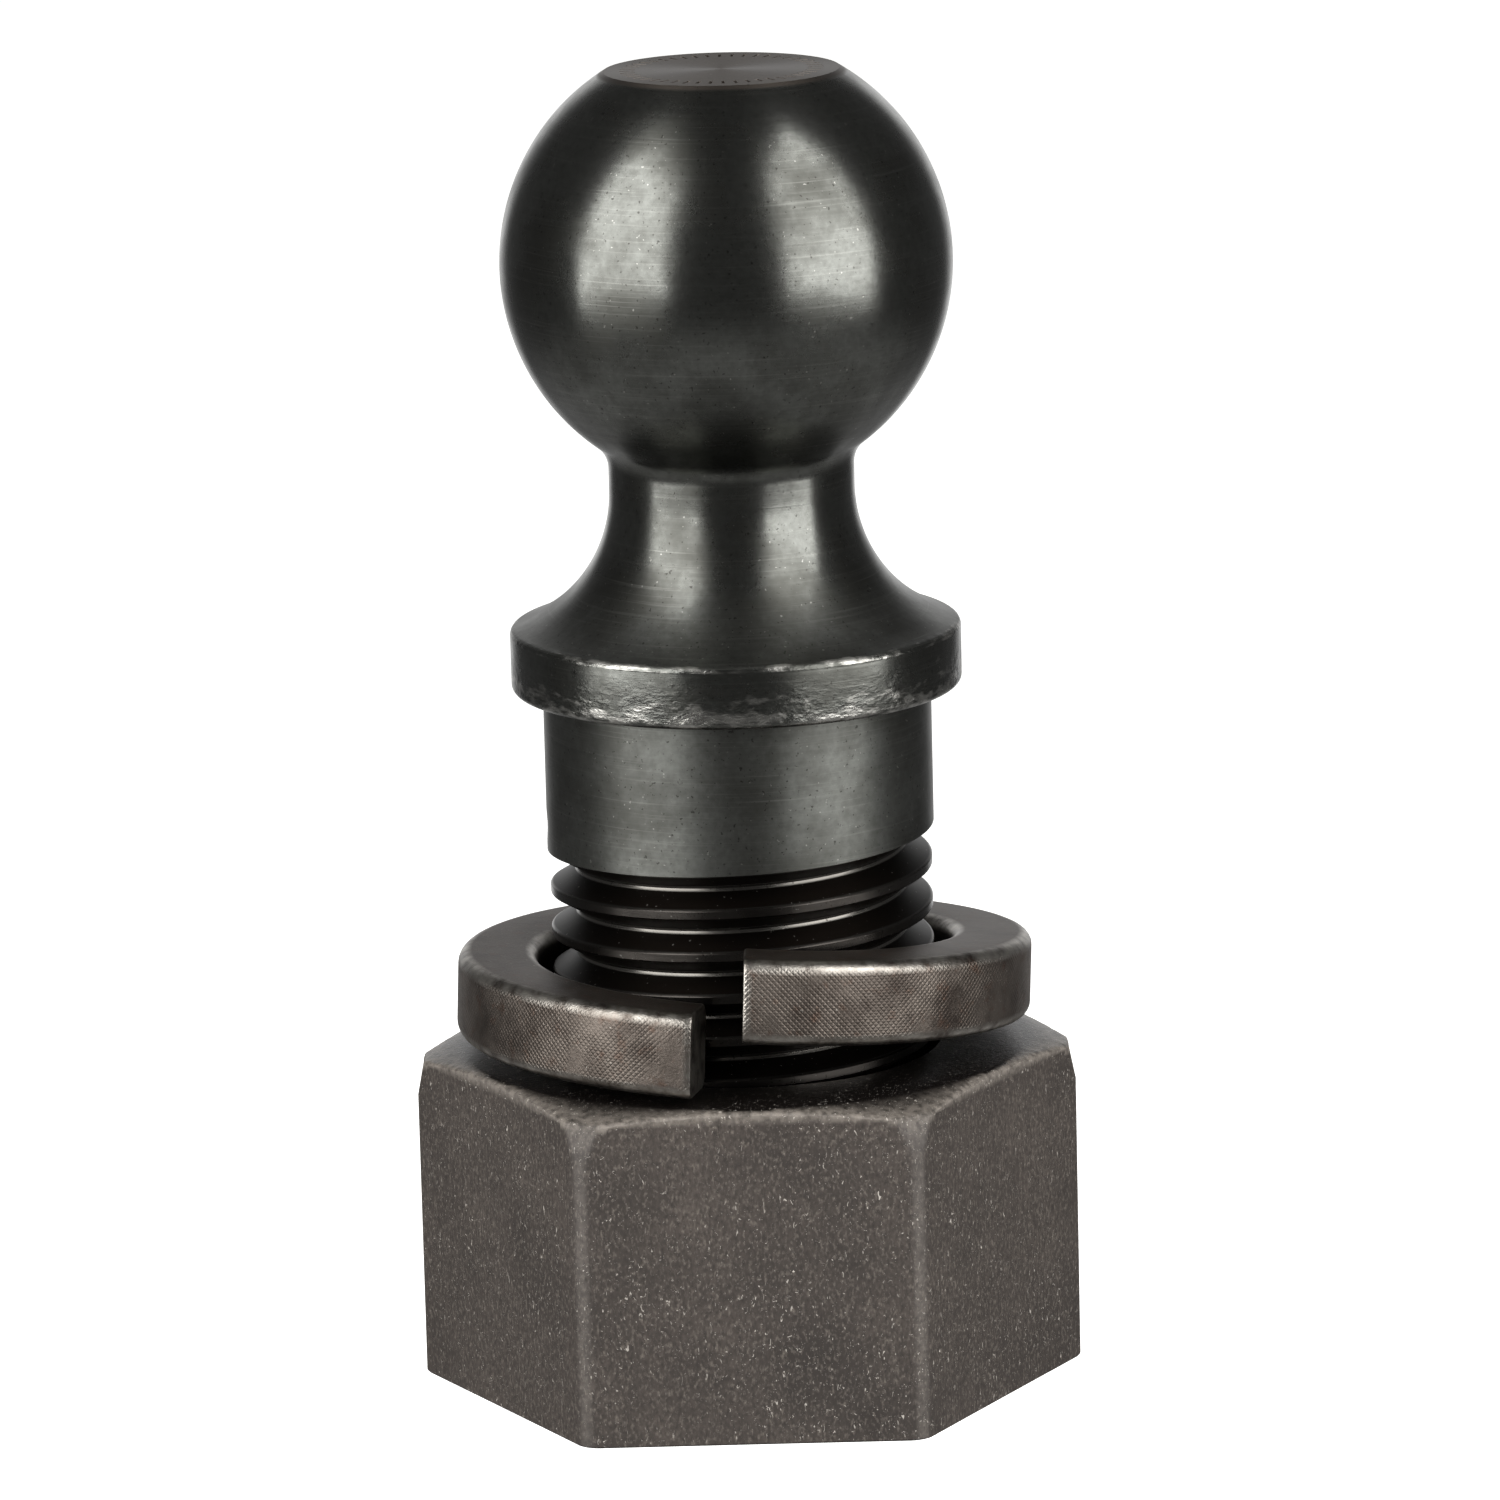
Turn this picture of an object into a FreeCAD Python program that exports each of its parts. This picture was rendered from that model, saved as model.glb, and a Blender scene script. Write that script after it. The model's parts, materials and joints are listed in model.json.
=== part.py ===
import FreeCAD, Part
import math
import os

import Sketcher

# A trailer hitch ball: a machined ball stud, the split lock washer on its threaded shank, and the hex nut.
# Millimetres, +Z up. The origin is the centre of the nut's bottom face, on the stud's axis.

SIZES = (
    ("ball_radius", 29.369),        # a 2-5/16 inch ball
    ("ball_height", 148.12),        # centre of the ball above the origin
    ("top_flat_radius", 15.27),
    ("neck_radius", 16.0),
    ("neck_blend", 4.0),            # small concave arc between the neck and the ball
    ("sweep_radius", 19.0),         # large concave arc between the neck and the flange
    ("sweep_height", 118.5),        # height at which the large arc leaves the neck
    ("flange_radius", 29.45),
    ("flange_bottom", 92.3),
    ("flange_edge_round", 1.2),
    ("shank_radius", 25.4),         # a 2 inch shank
    ("shoulder_height", 75.4),      # where the plain shank ends and the blank of the thread begins
    ("stud_end_height", 3.4),       # the free end stands this far inside the nut
    ("stud_end_chamfer", 3.6),
    ("thread_pitch", 5.6444),       # 4.5 threads per inch
    ("thread_radius", 25.1),        # a little under the plain shank, as a rolled thread is
    ("thread_root_radius", 21.8),
    ("thread_root_flat", 0.7),
    ("thread_flank_angle", 30.0),
    ("thread_top_height", 71.41),   # groove centre on the +X side, one quarter turn before it ends
    ("thread_turns", 13.25),
    ("cutter_overrun", 0.4),        # how far each cutting profile stands clear of the surface it cuts
    ("across_flats", 76.2),
    ("nut_height", 44.45),
    ("nut_corner_round", 3.2),
    ("nut_top_circle", 37.0),
    ("nut_top_slope", 15.0),
    ("nut_bore_radius", 22.6),
    ("nut_groove_radius", 25.45),
    ("nut_groove_flat", 1.13),
    ("nut_thread_turns", 9.5),      # enough to run out past both faces
    ("nut_mouth_radius", 26.2),
    ("washer_outer_radius", 37.7),
    ("washer_width", 10.5),
    ("washer_thickness", 11.1),
    ("washer_edge_round", 1.8),
    ("washer_pitch", 7.65),         # rise of the washer's coil over one full turn
    ("washer_turns", 0.9725),
    ("washer_heading", 259.4),      # where the lower end of the coil stands, from +X
    ("washer_tilt", 4.3),           # the loose washer leans on the nut
    ("washer_tilt_heading", 144.0),
    ("washer_rest_gap", 0.15),      # between the washer's lowest point and the nut's top face
)

ORIGIN = (-1, 1)
H_AXIS = -1
V_AXIS = -2

doc = FreeCAD.newDocument("hitch_ball")
sheet = doc.addObject("Spreadsheet::Sheet", "sizes")
for row, (alias, value) in enumerate(SIZES, start=1):
    sheet.set("A%d" % row, alias)
    sheet.set("B%d" % row, str(value))
    sheet.setAlias("B%d" % row, alias)
doc.recompute()


def size(alias):
    """The number that the sheet holds under an alias."""
    return getattr(sheet, alias)


def new_sketch(body, name, role, lift=None):
    """A sketch on one of the body's own origin planes, moved up the plane by the lift expression."""
    sketch = body.newObject("Sketcher::SketchObject", name)
    plane = [item for item in body.Origin.OriginFeatures if item.Role == role][0]
    sketch.AttachmentSupport = (plane, [""])
    sketch.MapMode = "FlatFace"
    if lift:
        sketch.setExpression(".AttachmentOffset.Base.y", lift)
    return sketch


def pin(sketch, kind, axis, place, expression):
    """Hold one point of a sketch at a distance from the origin, or on the axis where that is nothing."""
    edge, end = place
    if expression == "0":
        sketch.addConstraint(Sketcher.Constraint("PointOnObject", edge, end, axis))
        return
    value = sketch.evalExpression(expression)
    index = sketch.addConstraint(Sketcher.Constraint(kind, *ORIGIN, edge, end, value))
    sketch.setExpression("Constraints[%d]" % index, expression)


def outline(sketch, corners, arcs=None):
    """Draw a closed outline through corners given as (x, y) expressions.

    arcs maps the number of a side to the (x, y, radius) expressions of the arc that it is.
    """
    arcs = arcs or {}
    number = sketch.evalExpression
    points = [FreeCAD.Vector(number(x), number(y), 0) for x, y in corners]
    count = len(points)
    ends = []
    for side in range(count):
        first, last = points[side], points[(side + 1) % count]
        if side in arcs:
            x, y, radius = arcs[side]
            centre = FreeCAD.Vector(number(x), number(y), 0)
            turns = [math.atan2(point.y - centre.y, point.x - centre.x) for point in (first, last)]
            anticlockwise = (turns[1] - turns[0]) % math.tau < math.pi
            if not anticlockwise:
                turns.reverse()
            circle = Part.Circle(centre, FreeCAD.Vector(0, 0, 1), number(radius))
            edge = sketch.addGeometry(Part.ArcOfCircle(circle, turns[0], turns[1]), False)
            index = sketch.addConstraint(Sketcher.Constraint("Radius", edge, number(radius)))
            sketch.setExpression("Constraints[%d]" % index, radius)
            ends.append((edge, 1, 2) if anticlockwise else (edge, 2, 1))
        else:
            edge = sketch.addGeometry(Part.LineSegment(first, last), False)
            ends.append((edge, 1, 2))
    for side in range(count):
        edge, start, _ = ends[side]
        before, _, finish = ends[side - 1]
        sketch.addConstraint(Sketcher.Constraint("Coincident", before, finish, edge, start))
        pin(sketch, "DistanceX", V_AXIS, (edge, start), corners[side][0])
        pin(sketch, "DistanceY", H_AXIS, (edge, start), corners[side][1])
    return sketch


def hexagon(sketch, radius):
    """Draw a hexagon whose corners lie on a construction circle, the first one on +X."""
    value = sketch.evalExpression(radius)
    circle = Part.Circle(FreeCAD.Vector(0, 0, 0), FreeCAD.Vector(0, 0, 1), value)
    rim = sketch.addGeometry(circle, True)
    sketch.addConstraint(Sketcher.Constraint("Coincident", rim, 3, *ORIGIN))
    index = sketch.addConstraint(Sketcher.Constraint("Radius", rim, value))
    sketch.setExpression("Constraints[%d]" % index, radius)
    turns = [math.radians(60 * corner) for corner in range(6)]
    points = [FreeCAD.Vector(value * math.cos(turn), value * math.sin(turn), 0) for turn in turns]
    sides = []
    for corner in range(6):
        line = Part.LineSegment(points[corner], points[(corner + 1) % 6])
        sides.append(sketch.addGeometry(line, False))
    for corner in range(6):
        sketch.addConstraint(Sketcher.Constraint("Coincident", sides[corner - 1], 2, sides[corner], 1))
        sketch.addConstraint(Sketcher.Constraint("PointOnObject", sides[corner], 1, rim))
    for side in sides[1:]:
        sketch.addConstraint(Sketcher.Constraint("Equal", sides[0], side))
    sketch.addConstraint(Sketcher.Constraint("PointOnObject", sides[0], 1, H_AXIS))
    return sketch


def turned(body, kind, name, sketch):
    """A Revolution or Groove of a sketch, a full turn about the sketch's vertical axis."""
    feature = body.newObject("PartDesign::" + kind, name)
    feature.Profile = sketch
    feature.ReferenceAxis = (sketch, ["V_Axis"])
    feature.Angle = 360
    return feature


def coiled(body, kind, name, sketch, pitch, turns, left_handed=False):
    """An AdditiveHelix or SubtractiveHelix of a sketch about the sketch's vertical axis."""
    feature = body.newObject("PartDesign::" + kind, name)
    feature.Profile = sketch
    feature.ReferenceAxis = (sketch, ["V_Axis"])
    feature.Mode = "pitch-turns-angle"
    feature.LeftHanded = left_handed
    feature.setExpression("Pitch", pitch)
    feature.setExpression("Turns", turns)
    return feature


def rounded(body, name, radius, wanted):
    """A fillet on the edges of the body's last feature that the wanted test picks."""
    base = body.Tip
    edges = ["Edge%d" % (i + 1) for i, edge in enumerate(base.Shape.Edges) if wanted(edge)]
    feature = body.newObject("PartDesign::Fillet", name)
    feature.Base = (base, edges)
    feature.setExpression("Radius", radius)
    return feature


def cutter_corners(tip_radius, tip_width, mouth_radius, mouth_width):
    """Corners of a V-shaped thread cutter whose mouth starts at the sketch's origin height."""
    low = "(%s - %s) / 2" % (mouth_width, tip_width)
    high = "(%s + %s) / 2" % (mouth_width, tip_width)
    return ((mouth_radius, "0"), (tip_radius, low), (tip_radius, high), (mouth_radius, mouth_width))


def cutter_width(tip_width, depth):
    """How wide a V-shaped thread cutter is at a depth behind its tip."""
    return "(%s + 2 * (%s) * tan(sizes.thread_flank_angle * 1 deg))" % (tip_width, depth)


# Ball stud -------------------------------------------------------------------------------------------

stud = doc.addObject("PartDesign::Body", "ball_stud")
stud.Label = "ball_stud"

SWEEP_CENTRE = "sizes.neck_radius + sizes.sweep_radius"
SWEEP_DROP = "sqrt(sizes.sweep_radius ^ 2 - (%s - sizes.flange_radius) ^ 2)" % SWEEP_CENTRE
BLEND_CENTRE = "sizes.neck_radius + sizes.neck_blend"
BLEND_REACH = "(sizes.ball_radius + sizes.neck_blend)"
BLEND_DROP = "sqrt(%s ^ 2 - (%s) ^ 2)" % (BLEND_REACH, BLEND_CENTRE)
BALL_SHARE = "sizes.ball_radius / " + BLEND_REACH
TOP_RISE = "sqrt(sizes.ball_radius ^ 2 - sizes.top_flat_radius ^ 2)"

stud_corners = (
    ("0", "sizes.stud_end_height"),
    ("sizes.thread_radius - sizes.stud_end_chamfer", "sizes.stud_end_height"),
    ("sizes.thread_radius", "sizes.stud_end_height + sizes.stud_end_chamfer"),
    ("sizes.thread_radius", "sizes.shoulder_height"),
    ("sizes.shank_radius", "sizes.shoulder_height"),
    ("sizes.shank_radius", "sizes.flange_bottom"),
    ("sizes.flange_radius", "sizes.flange_bottom"),
    ("sizes.flange_radius", "sizes.sweep_height - " + SWEEP_DROP),
    ("sizes.neck_radius", "sizes.sweep_height"),
    ("sizes.neck_radius", "sizes.ball_height - " + BLEND_DROP),
    ("(%s) * %s" % (BLEND_CENTRE, BALL_SHARE), "sizes.ball_height - %s * %s" % (BLEND_DROP, BALL_SHARE)),
    ("sizes.top_flat_radius", "sizes.ball_height + " + TOP_RISE),
    ("0", "sizes.ball_height + " + TOP_RISE),
)
stud_arcs = {
    7: (SWEEP_CENTRE, "sizes.sweep_height", "sizes.sweep_radius"),
    9: (BLEND_CENTRE, "sizes.ball_height - " + BLEND_DROP, "sizes.neck_blend"),
    10: ("0", "sizes.ball_height", "sizes.ball_radius"),
}
stud_profile = outline(new_sketch(stud, "stud_profile", "XZ_Plane"), stud_corners, stud_arcs)
turned(stud, "Revolution", "stud_turning", stud_profile)
doc.recompute()


def on_flange(edge):
    """Whether an edge is one of the flange's two rims."""
    curve = edge.Curve
    return curve.TypeId == "Part::GeomCircle" and abs(curve.Radius - size("flange_radius")) < 0.01


rounded(stud, "flange_edges", "sizes.flange_edge_round", on_flange)
doc.recompute()

STUD_CUT_RADIUS = "sizes.thread_radius + sizes.cutter_overrun"
STUD_CUT_WIDTH = cutter_width("sizes.thread_root_flat", STUD_CUT_RADIUS + " - sizes.thread_root_radius")
STUD_CUT_START = "sizes.thread_top_height - floor(sizes.thread_turns) * sizes.thread_pitch"
stud_cutter = outline(
    new_sketch(stud, "stud_cutter", "XZ_Plane", "%s - %s / 2" % (STUD_CUT_START, STUD_CUT_WIDTH)),
    cutter_corners("sizes.thread_root_radius", "sizes.thread_root_flat", STUD_CUT_RADIUS, STUD_CUT_WIDTH),
)
coiled(stud, "SubtractiveHelix", "stud_thread", stud_cutter, "sizes.thread_pitch", "sizes.thread_turns")

# Lock washer -----------------------------------------------------------------------------------------

washer = doc.addObject("PartDesign::Body", "lock_washer")
washer.Label = "lock_washer"

INNER = "sizes.washer_outer_radius - sizes.washer_width"
OUTER = "sizes.washer_outer_radius"
THICK = "sizes.washer_thickness"
ROUND = "sizes.washer_edge_round"

washer_corners = (
    (INNER, ROUND),
    ("%s + %s" % (INNER, ROUND), "0"),
    ("%s - %s" % (OUTER, ROUND), "0"),
    (OUTER, ROUND),
    (OUTER, "%s - %s" % (THICK, ROUND)),
    ("%s - %s" % (OUTER, ROUND), THICK),
    ("%s + %s" % (INNER, ROUND), THICK),
    (INNER, "%s - %s" % (THICK, ROUND)),
)
washer_arcs = {
    0: ("%s + %s" % (INNER, ROUND), ROUND, ROUND),
    2: ("%s - %s" % (OUTER, ROUND), ROUND, ROUND),
    4: ("%s - %s" % (OUTER, ROUND), "%s - %s" % (THICK, ROUND), ROUND),
    6: ("%s + %s" % (INNER, ROUND), "%s - %s" % (THICK, ROUND), ROUND),
}
washer_section = outline(new_sketch(washer, "washer_section", "XZ_Plane"), washer_corners, washer_arcs)
coiled(
    washer,
    "AdditiveHelix",
    "washer_coil",
    washer_section,
    "sizes.washer_pitch",
    "sizes.washer_turns",
    left_handed=True,
)

# Hex nut ---------------------------------------------------------------------------------------------

nut = doc.addObject("PartDesign::Body", "hex_nut")
nut.Label = "hex_nut"

blank = nut.newObject("PartDesign::Pad", "nut_blank")
blank.Profile = hexagon(new_sketch(nut, "nut_hexagon", "XY_Plane"), "sizes.across_flats / sqrt(3)")
blank.setExpression("Length", "sizes.nut_height")
doc.recompute()


def upright(edge):
    """Whether an edge is one of the blank's six corners."""
    start, end = [vertex.Point for vertex in edge.Vertexes]
    return abs(end.z - start.z) > size("nut_height") / 2


rounded(nut, "nut_corners", "sizes.nut_corner_round", upright)
doc.recompute()

BEYOND = "sizes.across_flats"
SLOPE_DROP = "(%s - sizes.nut_top_circle) * tan(sizes.nut_top_slope * 1 deg)" % BEYOND
top_cutter = outline(
    new_sketch(nut, "nut_top_cutter", "XZ_Plane"),
    (
        ("sizes.nut_top_circle", "sizes.nut_height"),
        (BEYOND, "sizes.nut_height - " + SLOPE_DROP),
        (BEYOND, "sizes.nut_height"),
    ),
)
turned(nut, "Groove", "nut_top_slope_cut", top_cutter)

MOUTH_DEPTH = "(sizes.nut_mouth_radius - sizes.nut_bore_radius)"
bore_cutter = outline(
    new_sketch(nut, "nut_bore_cutter", "XZ_Plane"),
    (
        ("0", "0"),
        ("sizes.nut_mouth_radius", "0"),
        ("sizes.nut_bore_radius", MOUTH_DEPTH),
        ("sizes.nut_bore_radius", "sizes.nut_height - " + MOUTH_DEPTH),
        ("sizes.nut_mouth_radius", "sizes.nut_height"),
        ("0", "sizes.nut_height"),
    ),
)
turned(nut, "Groove", "nut_bore", bore_cutter)

# The nut's groove starts half a pitch below the stud's, so that its ridges stand in the stud's groove.
NUT_CUT_RADIUS = "sizes.nut_bore_radius - sizes.cutter_overrun"
NUT_CUT_WIDTH = cutter_width("sizes.nut_groove_flat", "sizes.nut_groove_radius - (%s)" % NUT_CUT_RADIUS)
NUT_CUT_START = STUD_CUT_START + " - sizes.thread_pitch / 2"
nut_cutter = outline(
    new_sketch(nut, "nut_cutter", "XZ_Plane", "%s - %s / 2" % (NUT_CUT_START, NUT_CUT_WIDTH)),
    cutter_corners("sizes.nut_groove_radius", "sizes.nut_groove_flat", NUT_CUT_RADIUS, NUT_CUT_WIDTH),
)
coiled(nut, "SubtractiveHelix", "nut_thread", nut_cutter, "sizes.thread_pitch", "sizes.nut_thread_turns")

doc.recompute()

# The washer's coil is turned to put its gap at the front, leaned about its own middle, and set down on
# the nut's top face.
spin = FreeCAD.Rotation(FreeCAD.Vector(0, 0, 1), size("washer_heading"))
lean_heading = math.radians(size("washer_tilt_heading"))
lean_axis = FreeCAD.Vector(math.cos(lean_heading), math.sin(lean_heading), 0)
lean = FreeCAD.Rotation(lean_axis, size("washer_tilt"))
coil_height = size("washer_thickness") + size("washer_pitch") * size("washer_turns")
middle = lean.multVec(FreeCAD.Vector(0, 0, coil_height / 2))
washer.Placement = FreeCAD.Placement(FreeCAD.Vector(-middle.x, -middle.y, 0), lean.multiply(spin))
doc.recompute()
lowest = washer.Shape.optimalBoundingBox(False, False).ZMin
rest = size("nut_height") + size("washer_rest_gap") - lowest
washer.Placement.Base = FreeCAD.Vector(-middle.x, -middle.y, rest)
stud.Placement = FreeCAD.Placement()
nut.Placement = FreeCAD.Placement()
doc.recompute()

# Checks and files ------------------------------------------------------------------------------------

CUTS = ("PartDesign::SubtractiveHelix", "PartDesign::Groove", "PartDesign::Fillet")

for item in doc.Objects:
    if "Invalid" in item.State or "Error" in item.State:
        raise RuntimeError("%s did not compute: %s" % (item.Label, item.State))

os.makedirs("parts", exist_ok=True)
for body in (stud, washer, nut):
    solids = [item for item in body.Group if item.isDerivedFrom("PartDesign::Feature")]
    for before, after in zip(solids, solids[1:]):
        if after.TypeId in CUTS and after.Shape.Volume >= before.Shape.Volume:
            raise RuntimeError("%s removes nothing" % after.Label)
    for item in body.Group:
        if item.TypeId == "Sketcher::SketchObject" and not item.FullyConstrained:
            raise RuntimeError("%s can still move" % item.Label)
    shape = body.Shape
    if shape.isNull() or not shape.isValid() or len(shape.Solids) != 1:
        raise RuntimeError("%s is not one valid solid" % body.Label)
    box = shape.BoundBox
    print(
        "%-12s volume %.0f mm3, x %.2f..%.2f, y %.2f..%.2f, z %.2f..%.2f"
        % (body.Label, shape.Volume, box.XMin, box.XMax, box.YMin, box.YMax, box.ZMin, box.ZMax)
    )
    shape.exportStep("parts/%s.step" % body.Label)
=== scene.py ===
"""The looks of a trailer hitch ball: a blackened ball stud, a split lock washer and a hex nut."""
import json
import logging
import math
from collections.abc import Callable, Sequence
from dataclasses import dataclass, field
from enum import Enum
from typing import Protocol

import bmesh
import bpy
from mathutils import Matrix, Vector, noise


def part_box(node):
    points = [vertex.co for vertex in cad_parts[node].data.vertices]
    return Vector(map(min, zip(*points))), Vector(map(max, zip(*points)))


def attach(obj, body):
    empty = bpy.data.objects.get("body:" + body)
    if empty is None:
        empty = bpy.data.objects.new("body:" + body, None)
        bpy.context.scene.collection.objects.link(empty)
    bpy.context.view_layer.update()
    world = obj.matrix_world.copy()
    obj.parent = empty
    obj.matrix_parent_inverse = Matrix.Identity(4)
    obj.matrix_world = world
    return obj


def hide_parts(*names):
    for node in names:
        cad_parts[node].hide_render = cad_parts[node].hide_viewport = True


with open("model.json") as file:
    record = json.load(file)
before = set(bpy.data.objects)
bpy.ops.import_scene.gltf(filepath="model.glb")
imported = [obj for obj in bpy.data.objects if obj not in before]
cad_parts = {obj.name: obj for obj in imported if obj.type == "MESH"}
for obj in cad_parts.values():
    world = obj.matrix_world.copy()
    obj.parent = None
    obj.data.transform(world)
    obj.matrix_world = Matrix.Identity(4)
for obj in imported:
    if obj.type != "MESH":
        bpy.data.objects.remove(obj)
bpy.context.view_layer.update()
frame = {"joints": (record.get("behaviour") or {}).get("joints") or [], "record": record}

MM = 0.001
MERGE = 0.01 * MM
PITCH = 5.6444 * MM
THREAD_START = 71.41 * MM
Profile = list[tuple[float, float]]

log = logging.getLogger("hitch_ball")


class Hand(Enum):
    """Which way a coil climbs: the sign of its turn, seen from above, as it rises."""

    RIGHT = 1
    LEFT = -1


class Slot(str, Enum):
    """The record's material slots."""

    STUD = "blackened_steel"
    WASHER = "spring_steel"
    NUT = "forged_steel"


# Small geometry helpers ------------------------------------------------------------------------------


def mount(name: str) -> dict:
    """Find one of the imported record's mounts.

    Args:
        name: The mount's name.

    Returns:
        The mount as the record holds it.
    """
    return next(item for item in frame["record"]["mounts"] if item["name"] == name)


def lowest_travel() -> float:
    """The height, below zero, that the nut's bottom comes down to at the end of the thread."""
    return min(joint["range_m"][0] for joint in frame["joints"] if joint["type"] == "slide")


def arc(centre: tuple[float, float], radius: float, start: float, end: float, steps: int) -> Profile:
    """Lay points along an arc of a profile.

    Args:
        centre: Radius and height of the arc's centre.
        radius: The arc's own radius.
        start: Direction of the first point from the centre, in degrees.
        end: Direction of the last point, in degrees.
        steps: How many straight steps the arc is made of.

    Returns:
        The points, both ends included.
    """
    turns = [math.radians(start + (end - start) * step / steps) for step in range(steps + 1)]
    return [(centre[0] + radius * math.cos(turn), centre[1] + radius * math.sin(turn)) for turn in turns]


def from_axis(vert: bmesh.types.BMVert) -> float:
    """A vertex's distance from the Z axis."""
    return math.hypot(vert.co.x, vert.co.y)


def smooth_step(low: float, high: float, value: float) -> float:
    """Ease from 0 at low to 1 at high, which may be the smaller of the two."""
    share = min(1.0, max(0.0, (value - low) / (high - low)))
    return share * share * (3.0 - 2.0 * share)


def chain(bm: bmesh.types.BMesh, points: Profile, closed: bool = False) -> list:
    """Add a profile to a mesh as vertices and edges in the XZ plane.

    Args:
        bm: The mesh that gets them.
        points: Radius and height of each point, in metres.
        closed: Whether the last point joins the first.

    Returns:
        The new vertices and edges.
    """
    verts = [bm.verts.new((radius, 0.0, height)) for radius, height in points]
    pairs = list(zip(verts, verts[1:]))
    if closed:
        pairs.append((verts[-1], verts[0]))
    return verts + [bm.edges.new(pair) for pair in pairs]


def coil(bm: bmesh.types.BMesh, geometry: list, rise: float, turns: float, steps: int, hand: Hand) -> None:
    """Sweep geometry up a helix about the Z axis.

    Args:
        bm: The mesh that holds the geometry.
        geometry: The vertices and edges to sweep.
        rise: How far one full turn climbs.
        turns: How many turns to sweep.
        steps: How many steps the whole sweep takes.
        hand: Which way it climbs.
    """
    bmesh.ops.spin(
        bm,
        geom=geometry,
        cent=(0.0, 0.0, 0.0),
        axis=(0.0, 0.0, 1.0),
        dvec=(0.0, 0.0, rise * turns / steps),
        angle=hand.value * turns * math.tau,
        steps=steps,
        use_merge=False,
        use_normal_flip=False,
        use_duplicate=False,
    )


def turn(bm: bmesh.types.BMesh, geometry: list, steps: int) -> None:
    """Sweep geometry a full turn about the Z axis and close it on itself.

    Args:
        bm: The mesh that holds the geometry.
        geometry: The vertices and edges to sweep.
        steps: How many steps the turn takes.
    """
    bmesh.ops.spin(
        bm,
        geom=geometry,
        cent=(0.0, 0.0, 0.0),
        axis=(0.0, 0.0, 1.0),
        dvec=(0.0, 0.0, 0.0),
        angle=math.tau,
        steps=steps,
        use_merge=True,
        use_normal_flip=False,
        use_duplicate=False,
    )


def cut_level(bm: bmesh.types.BMesh, height: float, keep_above: bool) -> None:
    """Cut a mesh at a level and clear one side.

    Args:
        bm: The mesh to cut.
        height: The level of the cut.
        keep_above: Whether what is above the level stays.
    """
    bmesh.ops.bisect_plane(
        bm,
        geom=bm.verts[:] + bm.edges[:] + bm.faces[:],
        dist=MERGE / 10,
        plane_co=(0.0, 0.0, height),
        plane_no=(0.0, 0.0, 1.0),
        clear_inner=keep_above,
        clear_outer=not keep_above,
    )


def open_edges(bm: bmesh.types.BMesh, height: float) -> list[bmesh.types.BMEdge]:
    """Find the open edges at a level.

    Args:
        bm: The mesh.
        height: The level.

    Returns:
        The edges with a face on one side only, both of whose ends lie at the level.
    """
    return [
        edge
        for edge in bm.edges
        if edge.is_boundary and all(abs(vert.co.z - height) < MERGE for vert in edge.verts)
    ]


def set_radius(vert: bmesh.types.BMVert, radius: float) -> None:
    """Move a vertex straight in or out from the Z axis.

    Args:
        vert: The vertex, which isn't on the axis.
        radius: Its new distance from the axis.
    """
    now = from_axis(vert)
    vert.co.x *= radius / now
    vert.co.y *= radius / now


def next_ring(
    bm: bmesh.types.BMesh,
    ring: list[bmesh.types.BMEdge],
    place: Callable[[bmesh.types.BMVert, float], tuple[float, float]],
) -> list[bmesh.types.BMEdge]:
    """Extrude a ring of edges to a new radius and height.

    Args:
        bm: The mesh.
        ring: The edges to extrude.
        place: Gives the new radius and height for a vertex and its present radius.

    Returns:
        The edges of the new ring.
    """
    made = bmesh.ops.extrude_edge_only(bm, edges=ring)["geom"]
    for vert in (item for item in made if isinstance(item, bmesh.types.BMVert)):
        radius, height = place(vert, from_axis(vert))
        set_radius(vert, radius)
        vert.co.z = height
    return [item for item in made if isinstance(item, bmesh.types.BMEdge)]


def paint(bm: bmesh.types.BMesh, name: str, amount: Callable[[bmesh.types.BMVert], float]) -> None:
    """Store a number on every vertex, which a material can read as an attribute.

    Args:
        bm: The mesh.
        name: The attribute's name.
        amount: Gives the number for a vertex.
    """
    layer = bm.verts.layers.float.new(name)
    for vert in bm.verts:
        vert[layer] = amount(vert)


def finish_mesh(bm: bmesh.types.BMesh, name: str, crease: float = 28.0) -> bpy.types.Object:
    """Close a mesh's normals, shade it and make it an object at the origin.

    Args:
        bm: The mesh, which is freed.
        name: The object's name.
        crease: The bend between two faces, in degrees, from which their edge is shaded sharp.

    Returns:
        The new object, linked to the scene.
    """
    bmesh.ops.recalc_face_normals(bm, faces=bm.faces[:])
    limit = math.radians(crease)
    for face in bm.faces:
        face.smooth = True
    for edge in bm.edges:
        edge.smooth = len(edge.link_faces) == 2 and edge.calc_face_angle(0.0) < limit
    mesh = bpy.data.meshes.new(name)
    bm.to_mesh(mesh)
    bm.free()
    piece = bpy.data.objects.new(name, mesh)
    bpy.context.scene.collection.objects.link(piece)
    return piece


# Thread ----------------------------------------------------------------------------------------------


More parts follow.
